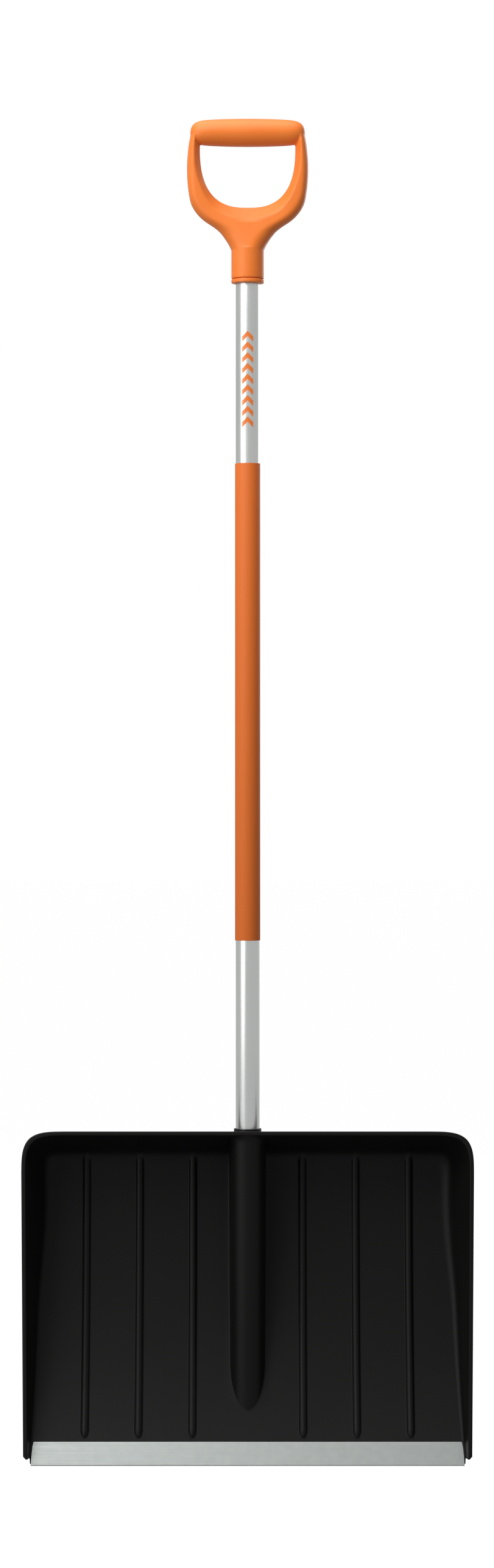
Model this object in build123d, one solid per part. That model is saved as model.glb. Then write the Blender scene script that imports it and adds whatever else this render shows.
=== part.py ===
"""Snow shovel: moulded scoop blade, aluminium wear edge, tube shaft, soft sleeve and D-grip.

Units are millimetres. The origin is the centre of the wear edge's underside, +Z runs up the
shaft, +X is to the right and the open face of the scoop looks along -Y.
"""
from build123d import *
import os
from math import asin, cos, degrees, radians, sin, sqrt, tan

# ---- driving dimensions: the whole tool ----
TOOL_LENGTH = 1580.5        # underside of the wear edge to the top of the D-grip
SHAFT_BEHIND_EDGE = 47.0    # shaft axis, behind the middle of the wear edge

# ---- blade ----
BLADE_TOP_WIDTH = 532.0     # over the rim, at the top corners
BLADE_FOOT_WIDTH = 523.0    # over the rim, at the wing ends
BLADE_HEIGHT = 388.5        # underside of the wear edge to the top of the rim
PAN_RADIUS = 770.0          # hollow of the pan's front face
PAN_LEAN = 28.7             # degrees the pan leans back at its foot
PAN_WALL = 3.2
WING_WALL = 3.0
WING_DRAFT = 15.0           # degrees the walls close in behind the rim
CORNER_RADIUS = 31.0        # top corners, in the rim's plane
PAN_FILLET = 9.0            # inside corner between the pan and the walls
RIM_AHEAD_OF_SHAFT = 22.5   # front of the rim, at its top, ahead of the shaft axis
RIM_TILT = 5.6              # degrees the rim's plane leans back
RIM_WIDTH = 4.8
RIM_DEPTH = 6.0
RIM_STEP = 1.2              # rim stands out past the wall behind it
WING_END_HEIGHT = 9.0       # wings stop this far above the ground
RIB_COUNT_EACH_SIDE = 3
RIB_FIRST = 65.0            # first rib from the middle, clear of the hump's foot
RIB_PITCH = 63.0
RIB_RADIUS = 4.8
RIB_RISE = 3.2
RIB_FOOT_HEIGHT = 36.0      # lower end of each rib above the ground
RIB_TOP_BELOW_RIM = 43.0    # upper end of each rib, short of the curl into the top wall

# ---- socket for the shaft, moulded into the blade ----
HUMP_COVER = 5.48           # from the tube's bore to the rounded crest of the hump
HUMP_SPREAD = 1.4           # the hump's foot is this much wider than its crest, each side
HUMP_WALL = 3.0
SHAFT_INSERTION = 270.0     # length of shaft inside the blade
SOCKET_WALL = 3.2
SOCKET_FLOOR = 3.0
COLLAR_WALL = 2.08
COLLAR_RISE = 1.6           # collar above the top of the rim
WEB_THICKNESS = 2.6
WEB_PITCH = 48.0

# ---- wear edge: a channel that hugs the foot of the pan ----
EDGE_END_GAP = 0.2          # from the channel's ends to the inside of the wings
EDGE_FRONT_HEIGHT = 26.5
EDGE_REAR_HEIGHT = 21.0
EDGE_SHEET = 1.5
EDGE_WEB = 3.0              # solid metal below the pan's tongue
EDGE_CLEARANCE = 0.12
RIVET_COUNT = 6
RIVET_SHANK_RADIUS = 1.6
RIVET_HEAD_RADIUS = 3.6
RIVET_HEAD_HEIGHT = 1.3
RIVET_HEIGHT = 13.0         # rivet line above the ground

# ---- shaft ----
TUBE_RADIUS = 14.0
TUBE_WALL = 1.3
FIT_CLEARANCE = 0.12        # radial, tube in its sockets and the sleeve on the tube
SLEEVE_WALL = 0.75
SLEEVE_LENGTH = 562.0
SLEEVE_ABOVE_MIDDLE = 5.5   # middle of the sleeve, above the middle of the shaft between blade and D-grip
PLUG_LENGTH = 42.0

# ---- D-grip ----
GRIP_WIDTH = 143.0
GRIP_HEIGHT = 194.0         # lip of its socket to the top of the crossbar
GRIP_SOCKET_WALL = 5.08
GRIP_SOCKET_LENGTH = 39.0   # plain round part, below the flare
GRIP_BORE_DEPTH = 53.0
BAR_RADIUS = 16.5           # crossbar at its middle
BAR_END_RADIUS = 13.7
OPENING_HALF_WIDTH = 55.6
OPENING_HEIGHT = 74.8
OPENING_BEVEL = 24.0        # degrees the inner faces open out
ARM_HALF_DEPTH = 13.0
NECK_BLEND = 2.0            # the flare's outline starts this far down inside the round part
FLARE_SLOPE = 1.15          # growth of the round envelope above the socket, per mm of height

# ---- shaft screws ----
SCREW_RADIUS = 2.3
SCREW_HEAD_RADIUS = 4.4
SCREW_HEAD_HEIGHT = 2.6
SCREW_LENGTH = 19.0
SCREW_CLEARANCE = 0.15
SCREW_RECESS_RADIUS = 5.0
SCREW_PAD_RADIUS = 7.5
SCREW_PAD_RISE = 2.4        # pad behind the blade's socket
BLADE_SCREW_FROM_TUBE_END = 21.0
GRIP_SCREW_FROM_TUBE_END = 31.0
SLOT_WIDTH = 1.2

# ---- places worked out from the dimensions ----
BORE_RADIUS = TUBE_RADIUS + FIT_CLEARANCE
SOCKET_RADIUS = BORE_RADIUS + SOCKET_WALL
COLLAR_RADIUS = BORE_RADIUS + COLLAR_WALL
HUMP_RADIUS = BORE_RADIUS + HUMP_COVER
HUMP_BASE_HALF_WIDTH = HUMP_RADIUS + HUMP_SPREAD
GRIP_SOCKET_RADIUS = BORE_RADIUS + GRIP_SOCKET_WALL
EDGE_THICKNESS = PAN_WALL + EDGE_CLEARANCE + EDGE_SHEET
PAN_AXIS_Y = -(PAN_RADIUS + EDGE_THICKNESS / 2) * cos(radians(PAN_LEAN))
PAN_AXIS_Z = (PAN_RADIUS + EDGE_THICKNESS / 2) * sin(radians(PAN_LEAN))
PAN_BACK_RADIUS = PAN_RADIUS + PAN_WALL
RIM_TOP_Y = SHAFT_BEHIND_EDGE - RIM_AHEAD_OF_SHAFT
RIM_FOOT_Y = RIM_TOP_Y - (BLADE_HEIGHT - WING_END_HEIGHT) * tan(radians(RIM_TILT))
PAN_FOOT_Y = PAN_AXIS_Y + sqrt(PAN_RADIUS ** 2 - (PAN_AXIS_Z - WING_END_HEIGHT) ** 2)
FOOT_DEPTH = (PAN_FOOT_Y - RIM_FOOT_Y) * cos(radians(RIM_TILT))    # rim to pan, at the wing ends
WING_FOOT_HALF = BLADE_FOOT_WIDTH / 2 - RIM_STEP - FOOT_DEPTH * tan(radians(WING_DRAFT))
EDGE_LENGTH = 2 * (WING_FOOT_HALF - WING_WALL - EDGE_END_GAP)
TUBE_FOOT = BLADE_HEIGHT - SHAFT_INSERTION
GRIP_FOOT = TOOL_LENGTH - GRIP_HEIGHT
TUBE_TOP = GRIP_FOOT + GRIP_BORE_DEPTH - 1.0
BAR_HEIGHT = GRIP_HEIGHT - BAR_RADIUS    # this and the opening: up from the D-grip's own foot
OPENING_TOP = BAR_HEIGHT - BAR_END_RADIUS
OPENING_FOOT = OPENING_TOP - OPENING_HEIGHT
SLEEVE_TOP = (BLADE_HEIGHT + GRIP_FOOT) / 2 + SLEEVE_ABOVE_MIDDLE + SLEEVE_LENGTH / 2
BLADE_SCREW_Z = TUBE_FOOT + BLADE_SCREW_FROM_TUBE_END
GRIP_SCREW_Z = TUBE_TOP - GRIP_SCREW_FROM_TUBE_END
BLADE_SCREW_SEAT = SOCKET_RADIUS + SCREW_PAD_RISE - SCREW_HEAD_HEIGHT
GRIP_SCREW_SEAT = GRIP_SOCKET_RADIUS - SCREW_HEAD_HEIGHT - 0.8
REACH = 2.0 * BLADE_TOP_WIDTH    # larger than anything it trims


def pan_angle(height, radius=PAN_RADIUS):
    """Angle round the pan's axis, in radians, of the point this high on the pan."""
    return asin((PAN_AXIS_Z - height) / radius)


def pan_y(height, radius=PAN_RADIUS):
    """How far behind the wear edge the pan's face is at this height."""
    return PAN_AXIS_Y + radius * cos(pan_angle(height, radius))


def pan_cylinder(radius):
    """Everything in front of the pan face of this radius."""
    return Pos(0, PAN_AXIS_Y, PAN_AXIS_Z) * Rot(0, 90, 0) * Cylinder(radius, REACH)


def slab(low, high):
    """Everything between two heights."""
    return Pos(0, 0, (low + high) / 2) * Box(REACH, REACH, high - low)


def upright(radius, low, high):
    """A round bar on the shaft's axis between two heights."""
    middle = Pos(0, SHAFT_BEHIND_EDGE, (low + high) / 2)
    return middle * Cylinder(radius, high - low)


def rearward(radius, start, end, height):
    """A round bar that runs back from the shaft's axis at one height."""
    middle = Pos(0, SHAFT_BEHIND_EDGE + (start + end) / 2, height)
    return middle * Rot(90, 0, 0) * Cylinder(radius, end - start)


def rim_plane():
    """The plane of the rim's front, with its local Y running down the blade."""
    tilt = radians(RIM_TILT)
    return Plane(
        origin=(0, RIM_TOP_Y, BLADE_HEIGHT), x_dir=(1, 0, 0), z_dir=(0, cos(tilt), -sin(tilt))
    )


def rim_outline(inset):
    """The rim's outline, brought in by inset, open past the foot so that the walls run out."""
    run = BLADE_HEIGHT / cos(radians(RIM_TILT))
    spread = (BLADE_FOOT_WIDTH - BLADE_TOP_WIDTH) / 2 / run
    foot = run + 60.0
    top_half = BLADE_TOP_WIDTH / 2 - inset
    foot_half = top_half + spread * foot
    corners = [(-top_half, inset), (top_half, inset), (foot_half, foot), (-foot_half, foot)]
    face = make_face(Polyline(*corners, close=True))
    top_corners = face.vertices().group_by(Axis.Y)[0]
    return fillet(top_corners, CORNER_RADIUS - inset)


def tray(inset, pan_radius, fillet_radius, deep=150.0):
    """The filled space inside the walls, in front of the pan face of this radius."""
    walls = extrude(rim_plane() * rim_outline(inset), amount=deep, taper=WING_DRAFT)
    filled = walls & pan_cylinder(pan_radius)
    pan_face = filled.faces().filter_by(GeomType.CYLINDER).sort_by(SortBy.AREA)[-1]
    wall_edges = [e for e in pan_face.edges() if e.center().Z > 0]
    return fillet(wall_edges, fillet_radius)


def rib(x):
    """A raised bead that follows the pan, rounded at both ends."""
    path_radius = PAN_RADIUS + RIB_RADIUS - RIB_RISE
    start = pan_angle(RIB_FOOT_HEIGHT, path_radius)
    end = pan_angle(BLADE_HEIGHT - RIB_TOP_BELOW_RIM, path_radius)
    foot, top = [
        (x, PAN_AXIS_Y + path_radius * cos(angle), PAN_AXIS_Z - path_radius * sin(angle))
        for angle in (start, end)
    ]
    section = Plane(origin=foot, x_dir=(1, 0, 0), z_dir=(0, sin(start), cos(start)))
    axis = Axis((0, PAN_AXIS_Y, PAN_AXIS_Z), (1, 0, 0))
    bead = revolve(section * Circle(RIB_RADIUS), axis=axis, revolution_arc=degrees(start - end))
    return bead + Pos(*foot) * Sphere(RIB_RADIUS) + Pos(*top) * Sphere(RIB_RADIUS)


def hump_section(inset):
    """Plan of the fairing over the shaft: a rounded crest with drafted flanks."""
    crest = HUMP_RADIUS - inset
    base = HUMP_BASE_HALF_WIDTH - inset
    behind = pan_y(BLADE_HEIGHT) + PAN_WALL + 20.0
    crest_arc = ThreePointArc(
        (-crest, SHAFT_BEHIND_EDGE), (0, SHAFT_BEHIND_EDGE - crest), (crest, SHAFT_BEHIND_EDGE)
    )
    flanks = Polyline(
        (crest, SHAFT_BEHIND_EDGE), (base, behind), (-base, behind), (-crest, SHAFT_BEHIND_EDGE)
    )
    return make_face([crest_arc, flanks])


def socket_webs(room):
    """The crossed webs behind the socket, kept inside the room they stand in."""
    depth = pan_y(BLADE_HEIGHT) + PAN_WALL - SHAFT_BEHIND_EDGE
    middle = SHAFT_BEHIND_EDGE + depth / 2
    span = BLADE_HEIGHT - TUBE_FOOT
    webs = Pos(0, middle, TUBE_FOOT + span / 2) * Box(WEB_THICKNESS, depth, span)
    level = BLADE_SCREW_Z + WEB_PITCH
    while level < BLADE_HEIGHT - WEB_PITCH:
        webs += Pos(0, middle, level) * Box(2 * HUMP_BASE_HALF_WIDTH, depth, WEB_THICKNESS)
        level += WEB_PITCH
    return webs & room & pan_cylinder(PAN_BACK_RADIUS)


def blade():
    """The moulded scoop: pan, wings, top wall, rim, ribs, hump and shaft socket."""
    outside = tray(RIM_STEP, PAN_BACK_RADIUS, PAN_FILLET + PAN_WALL)
    inside = tray(RIM_STEP + WING_WALL, PAN_RADIUS, PAN_FILLET)
    hump = extrude(hump_section(0), amount=BLADE_HEIGHT) & outside
    body = outside - inside
    rim = extrude(rim_plane() * (rim_outline(0) - rim_outline(RIM_WIDTH)), amount=RIM_DEPTH)
    body += rim
    for side in (-1, 1):
        for count in range(RIB_COUNT_EACH_SIDE):
            body += rib(side * (RIB_FIRST + count * RIB_PITCH)) & pan_cylinder(PAN_RADIUS + PAN_WALL / 2)
    body += hump

    room = extrude(
        rim_plane() * rim_outline(RIM_STEP + WING_WALL), amount=150.0, taper=WING_DRAFT
    )
    channel_foot = TUBE_FOOT - SOCKET_FLOOR - 25.0
    channel = Pos(0, 0, channel_foot) * extrude(hump_section(HUMP_WALL), amount=BLADE_HEIGHT)
    channel &= room
    body -= channel
    body += socket_webs(channel)
    body += upright(SOCKET_RADIUS, TUBE_FOOT - SOCKET_FLOOR, BLADE_HEIGHT - RIM_WIDTH) & (
        slab(0, BLADE_HEIGHT - 40.0) + outside
    )
    body += upright(COLLAR_RADIUS, BLADE_HEIGHT - 25.0, BLADE_HEIGHT + COLLAR_RISE)
    body += rearward(SCREW_PAD_RADIUS, TUBE_RADIUS, SOCKET_RADIUS + SCREW_PAD_RISE, BLADE_SCREW_Z)
    body -= upright(BORE_RADIUS, TUBE_FOOT, BLADE_HEIGHT + 2 * COLLAR_RISE)
    body -= rearward(SCREW_RADIUS + SCREW_CLEARANCE, 0, 2 * SOCKET_RADIUS, BLADE_SCREW_Z)
    body -= rearward(SCREW_RECESS_RADIUS, BLADE_SCREW_SEAT, 2 * SOCKET_RADIUS, BLADE_SCREW_Z)
    return trim_foot(body)


def trim_foot(body):
    """Cut the wing ends and thin the pan's foot to the tongue that the wear edge hugs."""
    body -= slab(-REACH, WING_END_HEIGHT) & pan_cylinder(PAN_RADIUS)
    body -= slab(-REACH, EDGE_WEB + EDGE_CLEARANCE)
    edge_zone = Box(EDGE_LENGTH + 2 * EDGE_CLEARANCE, REACH, REACH)
    front = pan_cylinder(PAN_RADIUS + EDGE_SHEET + EDGE_CLEARANCE)
    body -= slab(-REACH, EDGE_FRONT_HEIGHT + EDGE_CLEARANCE) & front & edge_zone
    for x in rivet_places():
        body -= rivet_bar(x, RIVET_SHANK_RADIUS + EDGE_CLEARANCE, PAN_RADIUS, PAN_BACK_RADIUS + 1)
    return body


def rivet_places():
    """Rivets spread evenly along the wear edge."""
    pitch = EDGE_LENGTH / RIVET_COUNT
    return [(i - (RIVET_COUNT - 1) / 2) * pitch for i in range(RIVET_COUNT)]


def rivet_bar(x, radius, start, end):
    """A round bar square to the pan on the rivet line, between two pan radii."""
    angle = pan_angle(RIVET_HEIGHT)
    middle = (start + end) / 2
    place = Pos(x, PAN_AXIS_Y + middle * cos(angle), PAN_AXIS_Z - middle * sin(angle))
    return place * Rot(-90 - degrees(angle), 0, 0) * Cylinder(radius, end - start)


def wear_edge():
    """The extruded aluminium channel along the foot of the pan."""
    rear_face = PAN_BACK_RADIUS + EDGE_CLEARANCE
    length = Box(EDGE_LENGTH, REACH, REACH)
    channel = pan_cylinder(rear_face + EDGE_SHEET) - pan_cylinder(PAN_RADIUS)
    channel = channel & length & slab(0, EDGE_FRONT_HEIGHT)
    behind_front = slab(EDGE_WEB, REACH) - pan_cylinder(PAN_RADIUS + EDGE_SHEET)
    channel -= behind_front & pan_cylinder(rear_face)
    channel -= slab(EDGE_REAR_HEIGHT, REACH) - pan_cylinder(PAN_RADIUS + EDGE_SHEET)
    for x in rivet_places():
        hole = RIVET_SHANK_RADIUS + EDGE_CLEARANCE
        channel -= rivet_bar(x, hole, PAN_BACK_RADIUS - 0.5, rear_face + 2 * EDGE_SHEET)
    return channel


def wear_edge_rivets():
    """Blind rivets through the channel's rear flange and the pan's tongue."""
    seat = PAN_BACK_RADIUS + EDGE_CLEARANCE + EDGE_SHEET
    inner_end = PAN_RADIUS + EDGE_SHEET + 2 * EDGE_CLEARANCE
    rivets = []
    for x in rivet_places():
        shank = rivet_bar(x, RIVET_SHANK_RADIUS, inner_end, seat + RIVET_HEAD_HEIGHT)
        head = rivet_bar(x, RIVET_HEAD_RADIUS, seat + 0.02, seat + RIVET_HEAD_HEIGHT)
        rivets.append(shank + head)
    return Compound(children=rivets)


def shaft_tube():
    """The drawn aluminium tube from the blade's socket to the D-grip."""
    tube = upright(TUBE_RADIUS, TUBE_FOOT, TUBE_TOP)
    tube -= upright(TUBE_RADIUS - TUBE_WALL, TUBE_FOOT - 1, TUBE_TOP + 1)
    for height in (BLADE_SCREW_Z, GRIP_SCREW_Z):
        tube -= rearward(SCREW_RADIUS + SCREW_CLEARANCE, 0, 2 * TUBE_RADIUS, height)
    return tube


def grip_sleeve():
    """The soft sleeve on the middle of the shaft."""
    inner = TUBE_RADIUS + FIT_CLEARANCE
    low = SLEEVE_TOP - SLEEVE_LENGTH
    sleeve = upright(inner + SLEEVE_WALL, low, SLEEVE_TOP)
    return sleeve - upright(inner, low - 1, SLEEVE_TOP + 1)


def tube_plug(low, screw_height):
    """A moulded plug inside one end of the tube, which the shaft screw bites into."""
    plug = upright(TUBE_RADIUS - TUBE_WALL - FIT_CLEARANCE, low, low + PLUG_LENGTH)
    inner_end = TUBE_RADIUS - SCREW_LENGTH
    return plug - rearward(SCREW_RADIUS + SCREW_CLEARANCE, inner_end, 2 * TUBE_RADIUS, screw_height)


def shaft_screw(seat, height):
    """A slotted pan-head screw that comes in from behind, its head on the seat."""
    head_end = seat + SCREW_HEAD_HEIGHT
    tip = seat - SCREW_LENGTH
    screw = rearward(SCREW_RADIUS, tip, seat, height)
    screw += rearward(SCREW_HEAD_RADIUS, seat + 0.02, head_end, height)
    screw += rearward(SCREW_RADIUS, seat - 1, head_end - 1, height)
    slot_y = SHAFT_BEHIND_EDGE + head_end
    screw -= Pos(0, slot_y, height) * Box(1.6 * SCREW_HEAD_RADIUS, 2.0, SLOT_WIDTH)
    return screw


def grip_outline():
    """Front view of the D-grip above its socket: flare, arms and the crossbar's ends."""
    half = GRIP_WIDTH / 2
    neck = GRIP_SOCKET_LENGTH
    flare = OPENING_FOOT - neck
    points = [
        (GRIP_SOCKET_RADIUS, neck - NECK_BLEND),
        (0.418 * half, neck + 0.36 * flare),
        (0.638 * half, neck + 0.64 * flare),
        (0.849 * half, neck + 0.936 * flare),
        (0.962 * half, OPENING_FOOT + 0.218 * OPENING_HEIGHT),
        (0.992 * half, OPENING_FOOT + 0.408 * OPENING_HEIGHT),
        (half, OPENING_FOOT + 0.60 * OPENING_HEIGHT),
        (0.978 * half, OPENING_FOOT + 0.944 * OPENING_HEIGHT),
        (0.913 * half, BAR_HEIGHT + 0.44 * BAR_RADIUS),
        (0.880 * half, BAR_HEIGHT + 0.697 * BAR_RADIUS),
        (0.800 * half, GRIP_HEIGHT + 1.0),
    ]
    side = [ThreePointArc(*points[i:i + 3]) for i in range(0, len(points) - 2, 2)]
    rest = Polyline(points[-1], (0, GRIP_HEIGHT + 1.0), (0, points[0][1]), points[0])
    face = make_face(side + [rest])
    return face + mirror(face, Plane.YZ)


def grip_opening():
    """The hand opening, from the crossbar down to its rounded foot."""
    half = OPENING_HALF_WIDTH
    straight_foot = OPENING_TOP - 0.30 * OPENING_HEIGHT
    haunch = (0.62 * half, OPENING_FOOT + 0.107 * OPENING_HEIGHT)
    side = Line((half, OPENING_TOP), (0.98 * half, straight_foot))
    bend = (0.908 * half, OPENING_FOOT + 0.367 * OPENING_HEIGHT)
    bowl = ThreePointArc((0.98 * half, straight_foot), bend, haunch)
    floor = ThreePointArc(haunch, (0, OPENING_FOOT), (-haunch[0], haunch[1])).trim(0, 0.5)
    closing = Polyline((0, OPENING_FOOT), (0, OPENING_TOP), (half, OPENING_TOP))
    face = make_face([side, bowl, floor, closing])
    return face + mirror(face, Plane.YZ)


def crossbar():
    """The barrel-shaped bar that the hand holds, longer than the grip is wide."""
    reach = GRIP_WIDTH / 2 + 5.0
    crown = BAR_RADIUS - BAR_END_RADIUS
    end = BAR_RADIUS - crown * (reach / (GRIP_WIDTH / 2)) ** 2
    profile = make_face([
        Line((-reach, 0), (-reach, end)),
        ThreePointArc((-reach, end), (0, BAR_RADIUS), (reach, end)),
        Line((reach, end), (reach, 0)),
        Line((reach, 0), (-reach, 0)),
    ])
    return Pos(0, 0, BAR_HEIGHT) * revolve(profile, axis=Axis.X)


def grip_frame():
    """Flare, arms and crossbar about the shaft's axis, with the D-grip's foot at height 0."""
    neck = GRIP_SOCKET_LENGTH
    plate = extrude(Plane.XZ * grip_outline(), amount=GRIP_SOCKET_RADIUS, both=True)
    side = make_face(Polyline(
        (-GRIP_SOCKET_RADIUS, neck), (-ARM_HALF_DEPTH, OPENING_FOOT), (-ARM_HALF_DEPTH, BAR_HEIGHT),
        (ARM_HALF_DEPTH, BAR_HEIGHT), (ARM_HALF_DEPTH, OPENING_FOOT), (GRIP_SOCKET_RADIUS, neck),
        close=True,
    ))
    yoke = plate & extrude(Plane.YZ * side, amount=GRIP_WIDTH, both=True)
    flare_height = BAR_HEIGHT - neck
    flare = Cone(GRIP_SOCKET_RADIUS, GRIP_SOCKET_RADIUS + FLARE_SLOPE * flare_height, flare_height)
    yoke &= Pos(0, 0, neck + flare_height / 2) * flare
    for direction in (-1, 1):
        opening = extrude(
            Plane.XZ * grip_opening(), amount=direction * 2 * ARM_HALF_DEPTH, taper=-OPENING_BEVEL
        )
        yoke -= opening
    return yoke + (crossbar() & plate)


def d_grip():
    """The moulded D-grip with its socket for the tube."""
    grip = Pos(0, SHAFT_BEHIND_EDGE, GRIP_FOOT) * grip_frame()
    grip += upright(GRIP_SOCKET_RADIUS, GRIP_FOOT, GRIP_FOOT + GRIP_SOCKET_LENGTH)
    grip -= upright(BORE_RADIUS, GRIP_FOOT - 1, GRIP_FOOT + GRIP_BORE_DEPTH)
    grip -= rearward(SCREW_RADIUS + SCREW_CLEARANCE, 0, 2 * GRIP_SOCKET_RADIUS, GRIP_SCREW_Z)
    grip -= rearward(SCREW_RECESS_RADIUS, GRIP_SCREW_SEAT, 2 * GRIP_SOCKET_RADIUS, GRIP_SCREW_Z)
    return grip


def main():
    """Build every piece and write one STEP file for each."""
    pieces = {
        "blade": blade(),
        "wear_edge": wear_edge(),
        "wear_edge_rivets": wear_edge_rivets(),
        "shaft_tube": shaft_tube(),
        "grip_sleeve": grip_sleeve(),
        "lower_tube_plug": tube_plug(TUBE_FOOT, BLADE_SCREW_Z),
        "upper_tube_plug": tube_plug(TUBE_TOP - PLUG_LENGTH, GRIP_SCREW_Z),
        "blade_screw": shaft_screw(BLADE_SCREW_SEAT, BLADE_SCREW_Z),
        "grip_screw": shaft_screw(GRIP_SCREW_SEAT, GRIP_SCREW_Z),
        "d_grip": d_grip(),
    }
    os.makedirs("parts", exist_ok=True)
    for name, piece in pieces.items():
        export_step(piece, os.path.join("parts", name + ".step"))
        size = piece.bounding_box().size
        print(f"{name}: {size.X:.1f} x {size.Y:.1f} x {size.Z:.1f} mm, {piece.volume:.0f} mm3")


main()
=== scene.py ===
# %% [markdown]
# # A snow shovel, dressed over its CAD frame
# The CAD model fixes every size and place. This file adds what the eye sees: a moulded black
# scoop, a soft orange D-grip, a drawn tube, a metal wear edge and their finishes. Modelling is
# done in millimetres, and each finished mesh is turned to metres in one place.

# %% Load the frame
import math

import bmesh
import bpy
from mathutils import Matrix, Vector


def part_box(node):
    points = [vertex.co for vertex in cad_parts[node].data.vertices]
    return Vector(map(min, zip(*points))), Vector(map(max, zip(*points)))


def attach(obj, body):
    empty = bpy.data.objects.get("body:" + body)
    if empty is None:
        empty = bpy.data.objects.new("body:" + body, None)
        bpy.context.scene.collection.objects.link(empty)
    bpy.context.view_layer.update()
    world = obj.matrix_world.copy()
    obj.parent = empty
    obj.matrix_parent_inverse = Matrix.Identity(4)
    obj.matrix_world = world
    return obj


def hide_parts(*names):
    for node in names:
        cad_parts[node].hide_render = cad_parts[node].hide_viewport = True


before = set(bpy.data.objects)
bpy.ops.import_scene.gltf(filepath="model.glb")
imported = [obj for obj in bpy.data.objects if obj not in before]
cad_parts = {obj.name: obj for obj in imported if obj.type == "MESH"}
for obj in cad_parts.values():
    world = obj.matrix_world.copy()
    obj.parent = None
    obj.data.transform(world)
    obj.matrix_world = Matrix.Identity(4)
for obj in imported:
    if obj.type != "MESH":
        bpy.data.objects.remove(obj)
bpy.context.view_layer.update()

# %% [markdown]
# ## Sizes that come from the frame
# The tube sets the shaft's axis and every bore, so its box is measured instead of typed in. The
# same goes for the ends of the sleeve, the wear edge and the grip.


# %% Read the main sizes from the frame
def box_mm(node):
    """Lowest and highest corner of a CAD node, in millimetres."""
    low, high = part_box(node)
    return low * 1000, high * 1000


FIT = 0.12                  # clearance between pieces that fit into each other
tube_low, tube_high = box_mm("shaft_tube")
sleeve_low, sleeve_high = box_mm("grip_sleeve")
edge_low, edge_high = box_mm("wear_edge")
grip_low, grip_high = box_mm("d_grip")
BLADE_TOP = box_mm("blade")[1].z
SHAFT_Y = (tube_low.y + tube_high.y) / 2
TUBE_RADIUS = (tube_high.x - tube_low.x) / 2
BORE_RADIUS = TUBE_RADIUS + FIT         # of the sleeve, the socket and the grip's neck
print("shaft axis at y", round(SHAFT_Y, 2), "radius", round(TUBE_RADIUS, 2))

# %% [markdown]
# ## Small helpers
# Colours are written as hex values, the way a paint chart gives them, and Blender's nodes want
# linear light, so one function converts them. One function adds a node with its settings and
# links, which keeps each material down to a few lines. Two more turn a bmesh into an object,
# and a finished piece in millimetres into one in metres that rides on the frame.


# %% Colour, node and finishing helpers
def linear(hex_colour):
    """An sRGB hex colour as linear red, green, blue and alpha."""
    channels = [int(hex_colour[i:i + 2], 16) / 255 for i in (1, 3, 5)]
    straight = [c / 12.92 if c <= 0.04045 else ((c + 0.055) / 1.055) ** 2.4 for c in channels]
    return (*straight, 1.0)


def add(tree, kind, inputs=None, **settings):
    """Add one node, set its properties, then fill or link its inputs."""
    node = tree.nodes.new(kind)
    for name, value in settings.items():
        setattr(node, name, value)
    for name, value in (inputs or {}).items():
        if isinstance(value, bpy.types.NodeSocket):
            tree.links.new(value, node.inputs[name])
        else:
            node.inputs[name].default_value = value
    return node


def new_material(name):
    """A material whose node tree is still empty, and that tree."""
    material = bpy.data.materials.new(name)
    material.use_nodes = True
    material.node_tree.nodes.clear()
    return material, material.node_tree


def new_object(bm, name):
    """Turn a bmesh into an object in the scene, and free the bmesh."""
    mesh = bpy.data.meshes.new(name)
    bm.to_mesh(mesh)
    bm.free()
    thing = bpy.data.objects.new(name, mesh)
    bpy.context.scene.collection.objects.link(thing)
    return thing


def finish_piece(bm, name, material, stands_for=(), smooth=True):
    """Turn a bmesh in millimetres into an object in metres that rides on the shovel."""
    bmesh.ops.transform(bm, matrix=Matrix.Scale(0.001, 4), verts=bm.verts)
    piece = new_object(bm, name)
    for face in piece.data.polygons:
        face.use_smooth = smooth
    piece.data.materials.append(material)
    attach(piece, "root")
    if stands_for:
        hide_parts(*stands_for)
    print(name, len(piece.data.polygons), "faces")
    return piece


def clamp(value):
    """The number, held between 0 and 1."""
    return min(max(value, 0.0), 1.0)


print("helpers ready; mid grey is", round(linear("#808080")[0], 3), "in linear light")

# %% [markdown]
# ## Camera
# The camera stands five metres in front of the shaft, at half the height of a person, and looks
# straight ahead. A long lens from there keeps the shovel's true proportions, and only a little
# perspective is left. The Standard view keeps the white of the studio white.

# %% Camera
CAMERA_DISTANCE = 5.0
CAMERA_HEIGHT = 0.7963
CAMERA_SIDE = -0.00075
VIEW_HEIGHT = 1.8488        # how much the camera sees from top to foot at the shaft, in metres
SENSOR = 36.0

camera_data = bpy.data.cameras.new("camera")
camera_data.sensor_width = SENSOR
camera_data.lens = SENSOR * CAMERA_DISTANCE / VIEW_HEIGHT
camera = bpy.data.objects.new("camera", camera_data)
camera.location = (CAMERA_SIDE, SHAFT_Y / 1000 - CAMERA_DISTANCE, CAMERA_HEIGHT)
camera.rotation_euler = (math.radians(90), 0, 0)
bpy.context.scene.collection.objects.link(camera)
bpy.context.scene.camera = camera
bpy.context.scene.view_settings.view_transform = "Standard"
print("lens, mm:", round(camera_data.lens, 1))

# %% [markdown]
# ## Floor
# The floor is a plain pale sheet, so large that its rim lies far behind the shovel. Most of its
# white is light of its own, so it stays even to the horizon. It is hidden from bounces and
# shines, because a glowing sheet would light the scoop from below.

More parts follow.
